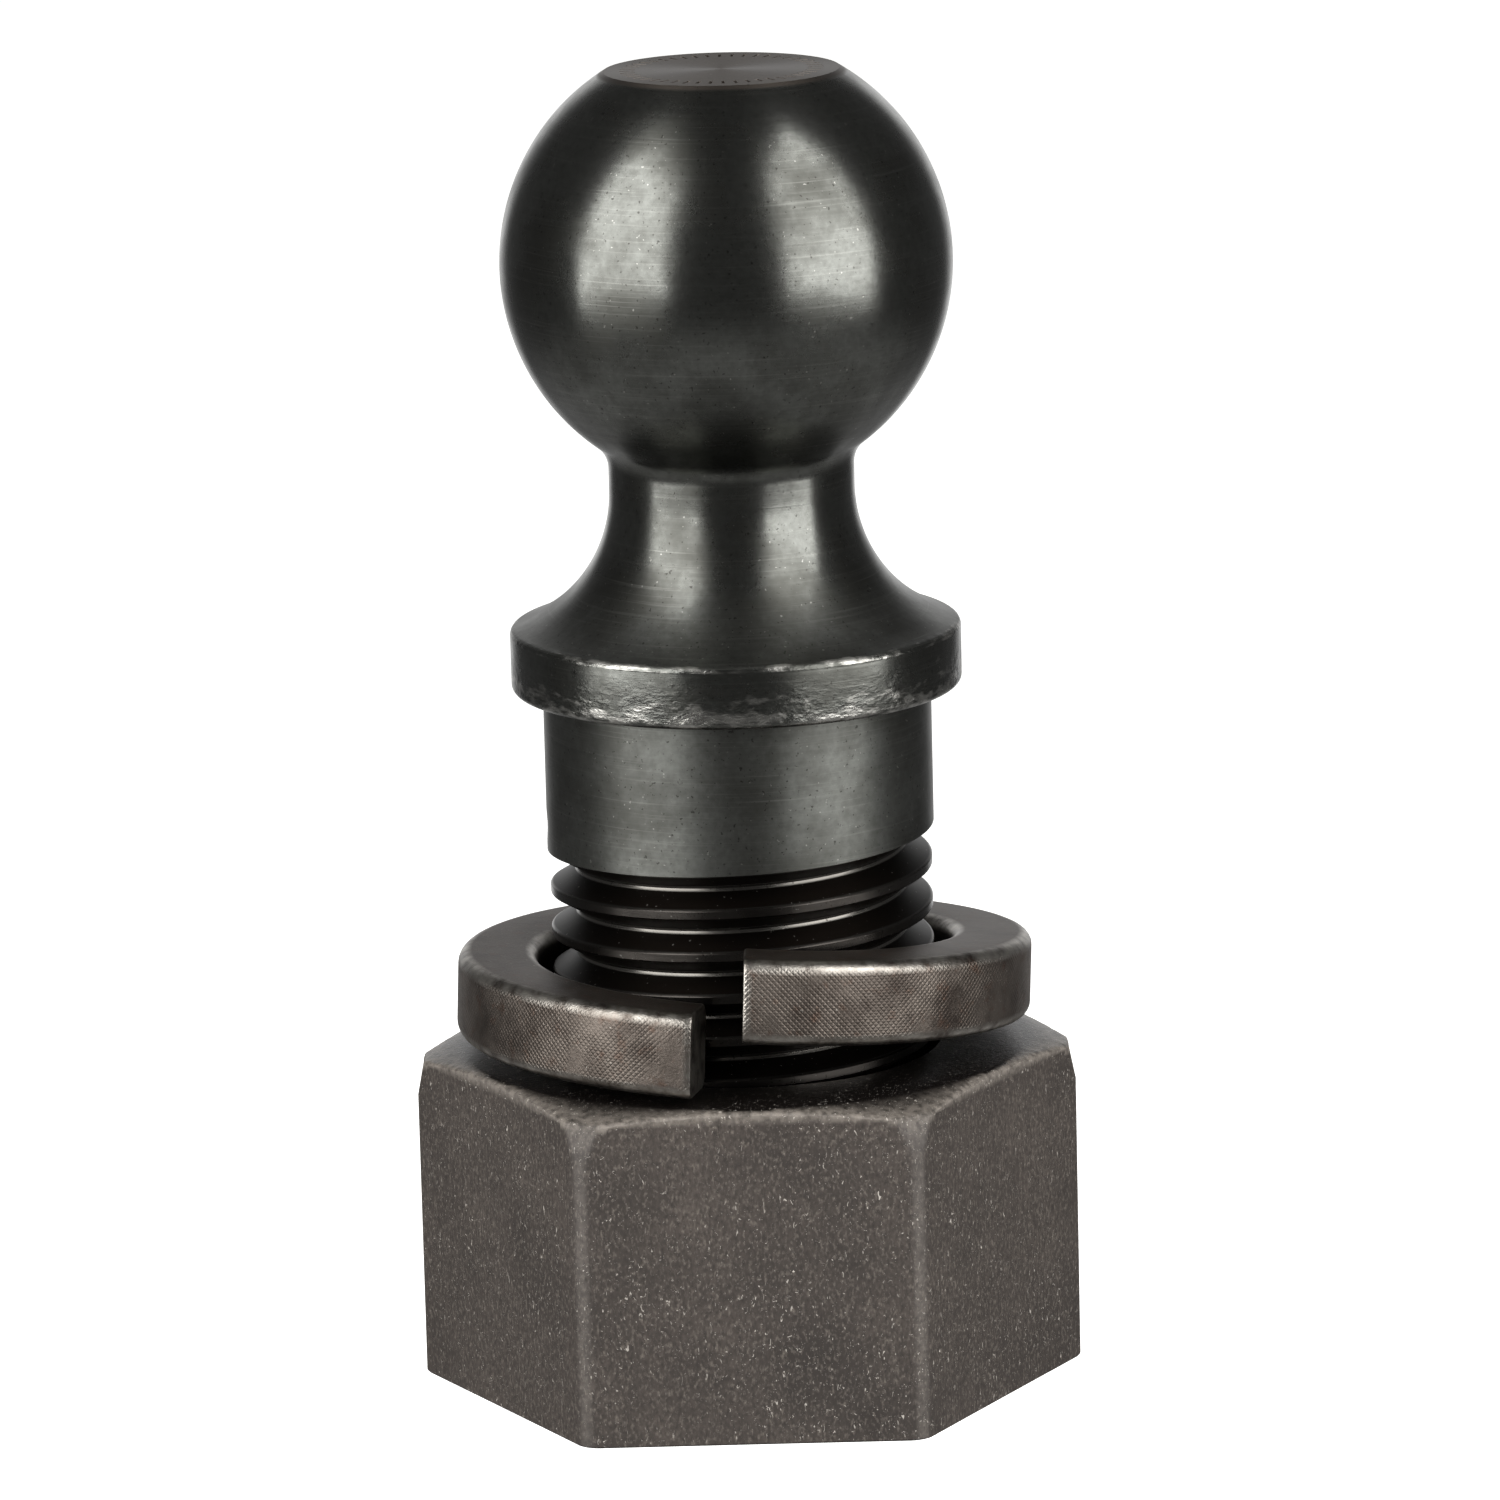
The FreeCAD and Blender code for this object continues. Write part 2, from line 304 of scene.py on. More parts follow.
@dataclass(frozen=True)
class Thread:
    """A right-hand V thread, described by the groove that is cut along it.

    The sizes are in metres. The groove's tip is its deep, narrow side: the root of the stud's thread,
    and the outermost part of the nut's.
    """

    pitch: float
    tip_radius: float
    tip_width: float
    crest_radius: float
    crest_height: float
    crest_round: float = 0.10 * MM
    root_dip: float = 0.07 * MM
    flank: float = math.radians(30.0)
    steps_per_turn: int = 128

    def form(self) -> Profile:
        """Draw one pitch of the thread.

        Returns:
            The outline from the middle of a crest up to the middle of the next, from height 0.
        """
        inward = math.copysign(1.0, self.tip_radius - self.crest_radius)
        depth = abs(self.crest_radius - self.tip_radius)
        half_tip = self.tip_width / 2
        half_mouth = half_tip + depth * math.tan(self.flank)
        middle = self.pitch / 2
        soft = self.crest_round
        slope = math.tan(self.flank)
        lower = [(self.crest_radius, 0.0), (self.crest_radius, middle - half_mouth - soft)]
        for sunk in (soft, 4 * soft, depth - 3 * soft, depth - soft):
            lower.append((self.crest_radius + inward * sunk, middle - half_mouth + sunk * slope))
        lower.append((self.tip_radius, middle - half_tip * 0.6))
        lower.append((self.tip_radius + inward * self.root_dip, middle))
        upper = [(radius, self.pitch - height) for radius, height in reversed(lower[:-1])]
        return lower + upper

    def sweep(self, bm: bmesh.types.BMesh, low: float, high: float) -> None:
        """Sweep the thread over a stretch of the Z axis, with more than a pitch to spare at both ends.

        One turn is swept, and the others are copies of it.

        Args:
            bm: An empty mesh that gets it.
            low: The lower end of the stretch.
            high: Its upper end.
        """
        below = math.ceil((self.crest_height - low) / self.pitch) + 2
        turns = math.ceil((high - low) / self.pitch) + 4
        start = self.crest_height - below * self.pitch
        points = [(radius, start + height) for radius, height in self.form()]
        coil(bm, chain(bm, points), self.pitch, 1.0, self.steps_per_turn, Hand.RIGHT)
        first = bm.verts[:] + bm.edges[:] + bm.faces[:]
        for step in range(1, turns):
            copy = bmesh.ops.duplicate(bm, geom=first)["geom"]
            verts = [item for item in copy if isinstance(item, bmesh.types.BMVert)]
            bmesh.ops.translate(bm, vec=(0.0, 0.0, step * self.pitch), verts=verts)
        bmesh.ops.remove_doubles(bm, verts=bm.verts[:], dist=MERGE)

    def travel(self, place: Vector) -> tuple[float, float]:
        """Find the groove nearest to a point.

        Args:
            place: The point.

        Returns:
            How far along the thread that groove is, in turns from the crest's height on the +X side, and
            how far the point is above the groove's middle.
        """
        angle = math.atan2(place.y, place.x) % math.tau / math.tau
        groove = (place.z - self.crest_height) / self.pitch - 0.5 - angle
        return angle + round(groove), (groove - round(groove)) * self.pitch


# Finishes --------------------------------------------------------------------------------------------


def colour(value: str) -> tuple[float, float, float, float]:
    """Turn an sRGB hex colour into the linear colour that a shader takes.

    Args:
        value: Six hex digits after a hash sign.

    Returns:
        Linear red, green and blue, and an alpha of 1.
    """
    shares = [int(value[place : place + 2], 16) / 255 for place in (1, 3, 5)]
    linear = [share / 12.92 if share <= 0.04045 else ((share + 0.055) / 1.055) ** 2.4 for share in shares]
    return (*linear, 1.0)


def add_node(
    tree: bpy.types.NodeTree,
    kind: str,
    inputs: dict | None = None,
    output: int | str = 0,
    **settings: object,
) -> bpy.types.NodeSocket | None:
    """Add a node to a tree with its settings and its links.

    Args:
        tree: The node tree that gets the node.
        kind: The node's Blender type.
        inputs: Value or source socket for each input, by name or number.
        output: Which of the node's outputs is wanted, by name or number.
        **settings: The node's own properties.

    Returns:
        The wanted output, or None for a node that has no outputs.
    """
    node = tree.nodes.new(kind)
    for name, value in settings.items():
        setattr(node, name, value)
    for name, value in (inputs or {}).items():
        if isinstance(value, bpy.types.NodeSocket):
            tree.links.new(value, node.inputs[name])
        else:
            node.inputs[name].default_value = value
    return node.outputs[output] if node.outputs else None


def blank_material(name: str) -> tuple[bpy.types.Material, bpy.types.NodeTree, bpy.types.ShaderNode]:
    """Start a material that holds only its shader.

    Args:
        name: The material's name.

    Returns:
        The material, its node tree and its Principled shader.
    """
    material = bpy.data.materials.new(name)
    material.use_nodes = True
    tree = material.node_tree
    tree.nodes.clear()
    surface = add_node(tree, "ShaderNodeBsdfPrincipled")
    add_node(tree, "ShaderNodeOutputMaterial", {"Surface": surface})
    return material, tree, surface.node


def patches(
    tree: bpy.types.NodeTree,
    size_mm: float | tuple[float, float, float],
    low: float,
    high: float,
    most: float = 1.0,
    detail: float = 2.0,
    twist: float = 0.0,
) -> bpy.types.NodeSocket:
    """A pattern of soft patches: noise on the object's coordinates, held between two levels.

    Args:
        tree: The material's node tree.
        size_mm: How large a patch is, in millimetres, the same each way or along X, Y and Z.
        low: The noise, from 0 to 1, at and below which there is none of the pattern.
        high: The noise at and above which there is the most of it.
        most: The most that the pattern reaches.
        detail: How many finer layers the noise has.
        twist: How much the patches are drawn out and bent.

    Returns:
        The pattern, from 0 to most.
    """
    sizes = size_mm if isinstance(size_mm, tuple) else (size_mm,) * 3
    place = add_node(tree, "ShaderNodeTexCoord", output="Object")
    scaled = add_node(
        tree, "ShaderNodeMapping", {"Vector": place, "Scale": [1.0 / (size * MM) for size in sizes]}
    )
    noise_inputs = {"Vector": scaled, "Scale": 1.0, "Detail": detail, "Roughness": 0.6, "Distortion": twist}
    level = add_node(tree, "ShaderNodeTexNoise", noise_inputs)
    return add_node(tree, "ShaderNodeMapRange", {"Value": level, 1: low, 2: high, 3: 0.0, 4: most})


def tint(
    tree: bpy.types.NodeTree, layers: Sequence[tuple[bpy.types.NodeSocket | None, str]]
) -> bpy.types.NodeSocket:
    """Lay colours over each other, each by its own share.

    Args:
        tree: The material's node tree.
        layers: The share and the hex colour of each layer, from the lowest up. The first has no share.

    Returns:
        The colour on top.
    """
    result = colour(layers[0][1])
    for share, value in layers[1:]:
        inputs = {0: share, 6: result, 7: colour(value)}
        result = add_node(tree, "ShaderNodeMix", inputs, output=2, data_type="RGBA")
    return result


def relief(
    tree: bpy.types.NodeTree, layers: Sequence[tuple[bpy.types.NodeSocket, float]]
) -> bpy.types.NodeSocket:
    """Stack height patterns into one bump.

    Args:
        tree: The material's node tree.
        layers: Each pattern, from 0 to 1, and its real depth in millimetres.

    Returns:
        The bent normal.
    """
    normal = None
    for height, depth_mm in layers:
        inputs = {"Height": height, "Strength": 1.0, "Distance": depth_mm * MM}
        if normal is not None:
            inputs["Normal"] = normal
        normal = add_node(tree, "ShaderNodeBump", inputs)
    return normal


class Finish(Protocol):
    """What a piece is dressed in."""

    def material(self) -> bpy.types.Material:
        """Build the node material."""


@dataclass(frozen=True)
class BlackOxide:
    """Turned steel with a hot black oxide coat: near black and satin, with the lathe's fine rings in it.

    The coat is a thin skin on bright metal, so it mirrors the lamps softly. Handling leaves dull smudges,
    and an edge that is knocked or rubbed goes back to grey steel; the flange's rims are painted lighter
    still along them, as painted highlight lines. The thread's flanks are painted near black, as oil and
    dirt and as painted shade in the groove, and its root is painted lighter, as a painted highlight line.
    The lathe's rings are really about 0.1 mm apart, and are drawn 0.4 mm apart so that they show.
    """

    coat: str = "#686965"
    smudge: str = "#484844"
    flat: str = "#56504a"
    crest: str = "#3d3a37"
    # near black on the thread's flanks: oil and dirt, and painted shade in the groove; also the pits
    flank: str = "#1a1613"
    # lighter at the thread's root: a painted highlight line
    root: str = "#6d6a65"
    # uncoated steel for the flecks, and the painted highlight on the knocked and worn rims
    bare_and_highlight: str = "#b5b3ad"
    line: str = "#8b8b86"
    roughness: float = 0.22
    smudge_roughness: float = 0.36
    dull_roughness: float = 0.5
    ring_mm: float = 0.4

    def material(self) -> bpy.types.Material:
        """Build the node material."""
        material, tree, shader = blank_material("black_oxide_turned_steel")
        streaks = patches(tree, (30.0, 30.0, self.ring_mm), 0.3, 0.7, detail=4.0)
        lines = patches(tree, (22.0, 22.0, 0.3), 0.56, 0.8, most=0.4, detail=5.0)
        smudges = patches(tree, 11.0, 0.42, 0.68, detail=6.0)
        mottle = patches(tree, 0.9, 0.35, 0.75, most=0.5, detail=5.0)
        pits = patches(tree, 0.5, 0.68, 0.74, most=0.6, detail=1.0)
        flecks = patches(tree, 0.55, 0.73, 0.78, most=0.35, detail=1.0)
        part = {
            name: add_node(tree, "ShaderNodeAttribute", output="Fac", attribute_name=name)
            for name in ("rim", "flat", "crest", "flank", "root", "dull")
        }
        knocks = patches(tree, (4.0, 4.0, 1.4), 0.35, 0.7, detail=5.0)
        # knocks and the rim marks together: worn metal and painted highlight lines on the flange's rims
        wear_and_highlight = add_node(tree, "ShaderNodeMath", {0: part["rim"], 1: knocks}, operation="ADD")
        rubbed_and_highlight = add_node(tree, "ShaderNodeMapRange", {"Value": wear_and_highlight, 1: 1.2, 2: 1.6, 3: 0.0, 4: 0.75})
        dull = add_node(tree, "ShaderNodeMath", {0: smudges, 1: streaks}, operation="MULTIPLY")
        layers = [
            (None, self.coat),
            (smudges, self.smudge),
            (dull, self.smudge),
            (mottle, self.smudge),
            (lines, self.line),
            (part["flat"], self.flat),
            (part["crest"], self.crest),
            # painted shade and dirt: the thread's flanks go near black
            (part["flank"], self.flank),
            # painted highlight: the thread's root goes lighter
            (part["root"], self.root),
            (pits, self.flank),
            (flecks, self.bare_and_highlight),
            # painted highlight and wear: the flange's rims go to light steel
            (rubbed_and_highlight, self.bare_and_highlight),
        ]
        tree.links.new(tint(tree, layers), shader.inputs["Base Color"])
        span = {1: 0.0, 2: 1.0, 3: self.roughness, 4: self.smudge_roughness}
        rough = add_node(tree, "ShaderNodeMapRange", {"Value": smudges, **span})
        mixed = {0: part["dull"], 2: rough, 3: self.dull_roughness}
        tree.links.new(add_node(tree, "ShaderNodeMix", mixed), shader.inputs["Roughness"])
        pocks = patches(tree, (2.0, 2.0, 0.9), 0.4, 0.7, detail=4.0)
        dents = add_node(tree, "ShaderNodeMath", {0: part["rim"], 1: pocks}, operation="MULTIPLY")
        bump = relief(tree, [(streaks, 0.004), (smudges, 0.01), (mottle, 0.004), (dents, 0.06)])
        tree.links.new(bump, shader.inputs["Normal"])
        tangent = add_node(tree, "ShaderNodeTangent", direction_type="RADIAL", axis="Z")
        tree.links.new(tangent, shader.inputs["Tangent"])
        shader.inputs["Anisotropic"].default_value = 0.5
        shader.inputs["Anisotropic Rotation"].default_value = 0.25
        shader.inputs["Metallic"].default_value = 1.0
        return material


@dataclass(frozen=True)
class SpringSteel:
    """Oil-hardened spring steel: warm dark scale, rubbed bright along its edges.

    The rolls that drew the bar leave a fine crosswise grip pattern on its outer face. The rounded edges and
    cut ends are painted lighter as a painted highlight as well as worn bright.
    """

    scale: str = "#564f49"
    outer: str = "#6b635c"
    dark: str = "#453e39"
    rust: str = "#573f32"
    # uncoated steel for the flecks, and the painted highlight on the worn edges
    bare_and_highlight: str = "#aaa59d"
    roughness: float = 0.48
    edge_roughness: float = 0.32
    knurl_mm: float = 0.75

    def material(self) -> bpy.types.Material:
        """Build the node material."""
        material, tree, shader = blank_material("oil_hardened_spring_steel")
        part = {
            name: add_node(tree, "ShaderNodeAttribute", output="Fac", attribute_name=name)
            for name in ("edge", "face", "along", "up")
        }
        waves = []
        for operation in ("ADD", "SUBTRACT"):
            slant = add_node(tree, "ShaderNodeMath", {0: part["along"], 1: part["up"]}, operation=operation)
            share = {0: slant, 1: math.pi / (self.knurl_mm * MM)}
            turns = add_node(tree, "ShaderNodeMath", share, operation="MULTIPLY")
            wave = add_node(tree, "ShaderNodeMath", {0: turns}, operation="SINE")
            waves.append(add_node(tree, "ShaderNodeMath", {0: wave}, operation="ABSOLUTE"))
        crossed = add_node(tree, "ShaderNodeMath", {0: waves[0], 1: waves[1]}, operation="MINIMUM")
        kept = patches(tree, 7.0, 0.36, 0.52)
        pressed = add_node(tree, "ShaderNodeMath", {0: part["face"], 1: kept}, operation="MULTIPLY")
        knurl = add_node(tree, "ShaderNodeMath", {0: crossed, 1: pressed}, operation="MULTIPLY")
        stain = patches(tree, 6.0, 0.42, 0.7, detail=6.0)
        rust = patches(tree, 2.2, 0.56, 0.72, most=0.55, detail=5.0)
        fine = patches(tree, 0.4, 0.3, 0.7, detail=4.0)
        flecks = patches(tree, 0.5, 0.67, 0.73, most=0.6, detail=2.0, twist=1.5)
        knocks = patches(tree, 3.0, 0.34, 0.6, detail=5.0)
        # worn edges and cut ends, painted light as a painted highlight too
        rubbed_and_highlight = add_node(tree, "ShaderNodeMath", {0: part["edge"], 1: knocks}, operation="MULTIPLY")
        layers = [
            (None, self.scale),
            (part["face"], self.outer),
            (stain, self.dark),
            (rust, self.rust),
            (flecks, self.bare_and_highlight),
            (rubbed_and_highlight, self.bare_and_highlight),
        ]
        tree.links.new(tint(tree, layers), shader.inputs["Base Color"])
        bump = relief(tree, [(fine, 0.02), (stain, 0.03), (knurl, 0.05)])
        tree.links.new(bump, shader.inputs["Normal"])
        span = {1: 0.0, 2: 1.0, 3: self.roughness, 4: self.edge_roughness}
        rough = add_node(tree, "ShaderNodeMapRange", {"Value": part["edge"], **span})
        tree.links.new(rough, shader.inputs["Roughness"])
        shader.inputs["Metallic"].default_value = 1.0
        return material


@dataclass(frozen=True)
class PhosphatedForging:
    """Forged steel with a zinc phosphate coat: matt, warm grey, and flecked.

    The coat is a fine crust of crystals and not a metal to the eye. Nicks in it show the steel as short
    light flecks, and the corners are rubbed lighter and painted lighter still, as painted highlights on the
    corners, their flares and the top edge. The top and the bore are machined and oiled, and painted near
    black as painted shade under the washer and in the bore. The crystals are too fine to show, and are
    drawn as a grain half a millimetre across.
    """

    coat: str = "#524a44"
    dark: str = "#312b27"
    pale: str = "#797168"
    # near black on the top and in the bore: oiled metal, and painted shade under the washer and in the bore
    oily_and_shade: str = "#0f0c0a"
    fleck: str = "#cfc8be"
    # lighter on the corners, flares and top edge: wear and painted highlight
    rubbed_and_highlight: str = "#8f877e"
    roughness: float = 0.6
    oily_roughness: float = 0.32

    def material(self) -> bpy.types.Material:
        """Build the node material."""
        material, tree, shader = blank_material("phosphated_forged_steel")
        mottle = patches(tree, 14.0, 0.3, 0.7, detail=7.0)
        grain = patches(tree, (0.5, 0.5, 0.8), 0.35, 0.7, detail=4.0)
        pale = patches(tree, (0.4, 0.4, 0.7), 0.52, 0.76, most=0.75, detail=4.0)
        crowd = patches(tree, 16.0, 0.28, 0.55, detail=3.0)
        upright = patches(tree, (0.4, 0.4, 1.0), 0.675, 0.72, most=0.75, detail=2.0, twist=0.8)
        sparks = patches(tree, 0.5, 0.685, 0.73, most=0.9, detail=2.0, twist=1.6)
        both = add_node(tree, "ShaderNodeMath", {0: upright, 1: sparks}, operation="MAXIMUM")
        flecks = add_node(tree, "ShaderNodeMath", {0: both, 1: crowd}, operation="MULTIPLY")
        scratches = patches(tree, (0.5, 0.5, 9.0), 0.67, 0.76, most=0.5, detail=1.0)
        edge = add_node(tree, "ShaderNodeAttribute", output="Fac", attribute_name="edge")
        top = add_node(tree, "ShaderNodeAttribute", output="Fac", attribute_name="top")
        knocks = patches(tree, 1.1, 0.25, 0.6, detail=5.0)
        # wear and painted highlight on the corners, their flares and the top edge
        rub_and_highlight = add_node(tree, "ShaderNodeMath", {0: edge, 1: knocks}, operation="MULTIPLY")
        layers = [
            (None, self.coat),
            (mottle, self.dark),
            (grain, self.dark),
            (pale, self.pale),
            (scratches, self.dark),
            # painted shade: the top and the bore go near black
            (top, self.oily_and_shade),
            # painted highlight and wear on the corners, flares and top edge
            (rub_and_highlight, self.rubbed_and_highlight),
            (flecks, self.fleck),
        ]
        tree.links.new(tint(tree, layers), shader.inputs["Base Color"])
        hammered = patches(tree, 2.5, 0.3, 0.7, detail=4.0)
        bump = relief(tree, [(grain, 0.03), (hammered, 0.03)])
        tree.links.new(bump, shader.inputs["Normal"])
        span = {1: 0.0, 2: 1.0, 3: self.roughness, 4: self.oily_roughness}
        rough = add_node(tree, "ShaderNodeMapRange", {"Value": top, **span})
        tree.links.new(rough, shader.inputs["Roughness"])
        return material


def dress(piece: bpy.types.Object, finish: Finish, body: str, node: str, slot: Slot) -> None:
    """Give a piece its finish and its place in the frame.

    Args:
        piece: The piece.
        finish: The finish, which builds the material.
        body: The CAD body that it rides on.
        node: The CAD node that it stands for.
        slot: The record's slot for its finish; not used.
    """
    piece.data.materials.append(finish.material())
    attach(piece, body)
    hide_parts(node)
    log.info("%s: %d faces", piece.name, len(piece.data.polygons))


# Ball stud -------------------------------------------------------------------------------------------


@dataclass
class BallStud:
    """The ball, its neck and flange, and the shank with its thread, turned from one forging.

    The thread's groove ends at thread_end, in turns round from the +X side, and run_out says how many
    turns before and after that it fades over. The mouth is half the groove's width at the crests, and the
    plain shank begins above the last groove's mouth.
    """

    ball_centre: float = mount("ball")["pos_m"][2]
    ball_radius: float = 29.369 * MM
    neck_radius: float = 16.0 * MM
    blend_radius: float = 4.0 * MM
    sweep_radius: float = 19.0 * MM
    sweep_height: float = 118.5 * MM
    flange_radius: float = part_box("ball_stud")[1].x
    flange_bottom: float = mount("flange_seat")["pos_m"][2]
    edge_round: float = 0.9 * MM
    shank_radius: float = mount("shank")["dims"]["r_mm"] * MM
    thread_end: float = 0.25
    end_height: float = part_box("ball_stud")[0].z
    end_chamfer: float = 3.6 * MM
    top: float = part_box("ball_stud")[1].z
    mark_radii: tuple[float, float] = (11.2 * MM, 13.2 * MM)
    mark_every: int = 4
    mark_depth: float = 0.25 * MM
    mark_inset: float = 0.12 * MM
    run_out: tuple[float, float] = (0.12, 0.30)
    root_depth: float = 3.3 * MM
    mouth: float = 2.26 * MM
    mouth_step: float = 0.1 * MM
    least_radius: float = 1.0 * MM
    # The lower rim, the knocked band above it and the upper rim's line are painted light: knocks, and
    # painted highlight lines.
    knocked_band: float = 4.0 * MM
    knocked_share: float = 0.5
    rim_line: float = 0.4 * MM
    rim_share: float = 0.75
    flange_height: float = 12.0 * MM
    ledge: tuple[float, float] = (2.0 * MM, 10.0 * MM)
    ledge_dull: float = 0.6
    shank_dull: float = 0.65
    seam_step: float = 0.4 * MM
    margin: float = 1.0 * MM
    crest_band: tuple[float, float] = (-0.05 * MM, 0.15 * MM)
    flank_band: tuple[float, float] = (0.05 * MM, 0.3 * MM)
    root_band: float = 0.08 * MM
    around: int = 192
    finish: BlackOxide = field(default_factory=BlackOxide)
    thread: Thread = field(
        default_factory=lambda: Thread(
            pitch=PITCH,
            tip_radius=21.8 * MM,
            tip_width=0.7 * MM,
            crest_radius=25.1 * MM,
            crest_height=THREAD_START - PITCH / 2,
        )
    )

    def rim_join(self) -> tuple[float, float]:
        """Find where the flange's rounded upper rim runs into the sweep that goes up to the neck.

        Returns:
            How far the rim's centre lies below the sweep's, and the join's direction from it, in degrees.
        """
        across = self.neck_radius + self.sweep_radius - (self.flange_radius - self.edge_round)
        drop = math.sqrt((self.sweep_radius + self.edge_round) ** 2 - across**2)
        return drop, math.degrees(math.atan2(drop, across))

    def rim_top(self) -> float:
        """Height of the middle of the flange's upper rim."""
        drop, join = self.rim_join()
        return self.sweep_height - drop + self.edge_round * math.sin(math.radians(join) / 2)

    def upper_profile(self) -> Profile:
        """Draw the stud above its shank.

        Returns:
            The outline from the flange's underside up to the edge of the top flat.
        """
        soft = self.edge_round
        rim = self.flange_radius - soft
        sweep_centre = (self.neck_radius + self.sweep_radius, self.sweep_height)
        rim_drop, rim_turn = self.rim_join()
        blend_x = self.neck_radius + self.blend_radius
        blend_drop = math.sqrt((self.ball_radius + self.blend_radius) ** 2 - blend_x**2)
        blend_centre = (blend_x, self.ball_centre - blend_drop)
        ball_start = math.degrees(math.atan2(-blend_drop, blend_x))
        ball_end = math.degrees(math.asin((self.top - self.ball_centre) / self.ball_radius))
        points = [(self.shank_radius + self.seam_step, self.flange_bottom)]
        points += arc((rim, self.flange_bottom + soft), soft, -90.0, 0.0, 8)
        points += arc((rim, self.sweep_height - rim_drop), soft, 0.0, rim_turn, 8)
        points += arc(sweep_centre, self.sweep_radius, 180.0 + rim_turn, 180.0, 40)[1:]
        points += arc(blend_centre, self.blend_radius, 180.0, 180.0 + ball_start, 10)
        points += arc((0.0, self.ball_centre), self.ball_radius, ball_start, ball_end, 96)[1:]
        return points

    def shank_point(self, place: Vector) -> float:
        """The shank's radius at a point of the swept thread, with the end chamfer and the groove's run-out.

        Args:
            place: The point, at the radius that the sweep gave it.

        Returns:
            The radius: the plain shank above the last groove, and the thread below it.
        """
        crest = self.thread.crest_radius
        turns, above = self.thread.travel(place)
        past = turns - self.thread_end
        shoulder = smooth_step(self.mouth - self.mouth_step, self.mouth + self.mouth_step, above)
        plain = 1.0 if past > 0.0 else shoulder
        blank = crest + (self.shank_radius - crest) * (plain if past > -1.0 else 0.0)
        fade = 1.0 - smooth_step(-self.run_out[0], self.run_out[1], past)
        depth = crest - math.hypot(place.x, place.y)
        cone = crest - self.end_chamfer + place.z - self.end_height
        return max(self.least_radius, min(blank - depth * fade, cone))

    def build_shank(self, bm: bmesh.types.BMesh) -> None:
        """Sweep the threaded shank and let its groove run out into the plain part.

        Args:
            bm: An empty mesh that gets it, open at both ends.
        """
        self.thread.sweep(bm, self.end_height, self.flange_bottom)
        for vert in bm.verts:
            set_radius(vert, self.shank_point(vert.co))
        cut_level(bm, self.end_height, keep_above=True)
        cut_level(bm, self.flange_bottom, keep_above=False)

    def build(self) -> bpy.types.Object:
        """Model the stud as one closed mesh.

        Returns:
            The piece.
        """
        bm = bmesh.new()
        self.build_shank(bm)
        bmesh.ops.edgeloop_fill(bm, edges=open_edges(bm, self.end_height))
        flat = self.top
        points = self.upper_profile()
        points += [(self.mark_radii[1], flat), (self.mark_radii[0], flat), (0.0, flat)]
        turn(bm, chain(bm, points), self.around)
        bmesh.ops.remove_doubles(bm, verts=bm.verts[:], dist=MERGE)
        rings = open_edges(bm, self.flange_bottom)
        bmesh.ops.bridge_loops(bm, edges=rings)
        bmesh.ops.recalc_face_normals(bm, faces=bm.faces[:])
        self.stamp_marks(bm)
        for amount in (self.rim, self.flat, self.crest, self.flank, self.root, self.dull):
            paint(bm, amount.__name__, amount)
        return finish_mesh(bm, "ball_stud_turned")

    def stamp_marks(self, bm: bmesh.types.BMesh) -> None:
        """Stamp a ring of plain ticks into the top flat.

        Args:
            bm: The whole stud, with its faces pointing outwards.
        """
        low, high = self.mark_radii
        band = []
        for face in bm.faces:
            middle = face.calc_center_median()
            radius = math.hypot(middle.x, middle.y)
            step = int(math.atan2(middle.y, middle.x) % math.tau / math.tau * self.around)
            if middle.z > self.top - MERGE and low < radius < high and step % self.mark_every == 0:
                band.append(face)
        bmesh.ops.inset_individual(bm, faces=band, thickness=self.mark_inset, depth=-self.mark_depth)

    def depth(self, vert: bmesh.types.BMVert) -> float:
        """How deep in the thread's groove a point is: less than nothing on the plain shank and above it."""
        below = vert.co.z <= self.flange_bottom - self.margin
        return self.thread.crest_radius - from_axis(vert) if below else -1.0

    def rim(self, vert: bmesh.types.BMVert) -> float:
        """Tell how knocked and rubbed a point is.

        Args:
            vert: The point.

        Returns:
            1 on the flange's lower rim, less on its upper rim and on the band above the lower one, else 0.
            The rims are painted light as painted highlight lines as well as knocks.
        """
        low = vert.co.z - self.flange_bottom
        if from_axis(vert) <= self.shank_radius + self.margin or low > self.flange_height:
            return 0.0
        if low < self.edge_round:
            return 1.0
        upper = self.rim_share if abs(vert.co.z - self.rim_top()) < self.rim_line else 0.0
        return max(upper, self.knocked_share * (1.0 - smooth_step(0.0, self.knocked_band, low)))

    def flat(self, vert: bmesh.types.BMVert) -> float:
        """1 on the top flat."""
        return 1.0 if vert.co.z > self.top - 2 * self.mark_depth else 0.0

    def crest(self, vert: bmesh.types.BMVert) -> float:
        """1 on the crests of the thread."""
        return 1.0 if self.crest_band[0] <= self.depth(vert) < self.crest_band[1] else 0.0

    def flank(self, vert: bmesh.types.BMVert) -> float:
        """1 on the flanks of the thread, painted near black for oil and dirt and as painted shade in the
        groove.
        """
        deep = self.depth(vert)
        return smooth_step(*self.flank_band, deep) if deep < self.root_depth - self.root_band else 0.0

    def root(self, vert: bmesh.types.BMVert) -> float:
        """1 at the root of the thread, which the cutter left bright, and which is painted lighter as a
        painted highlight line.
        """
        return 1.0 if self.depth(vert) > self.root_depth - self.root_band else 0.0

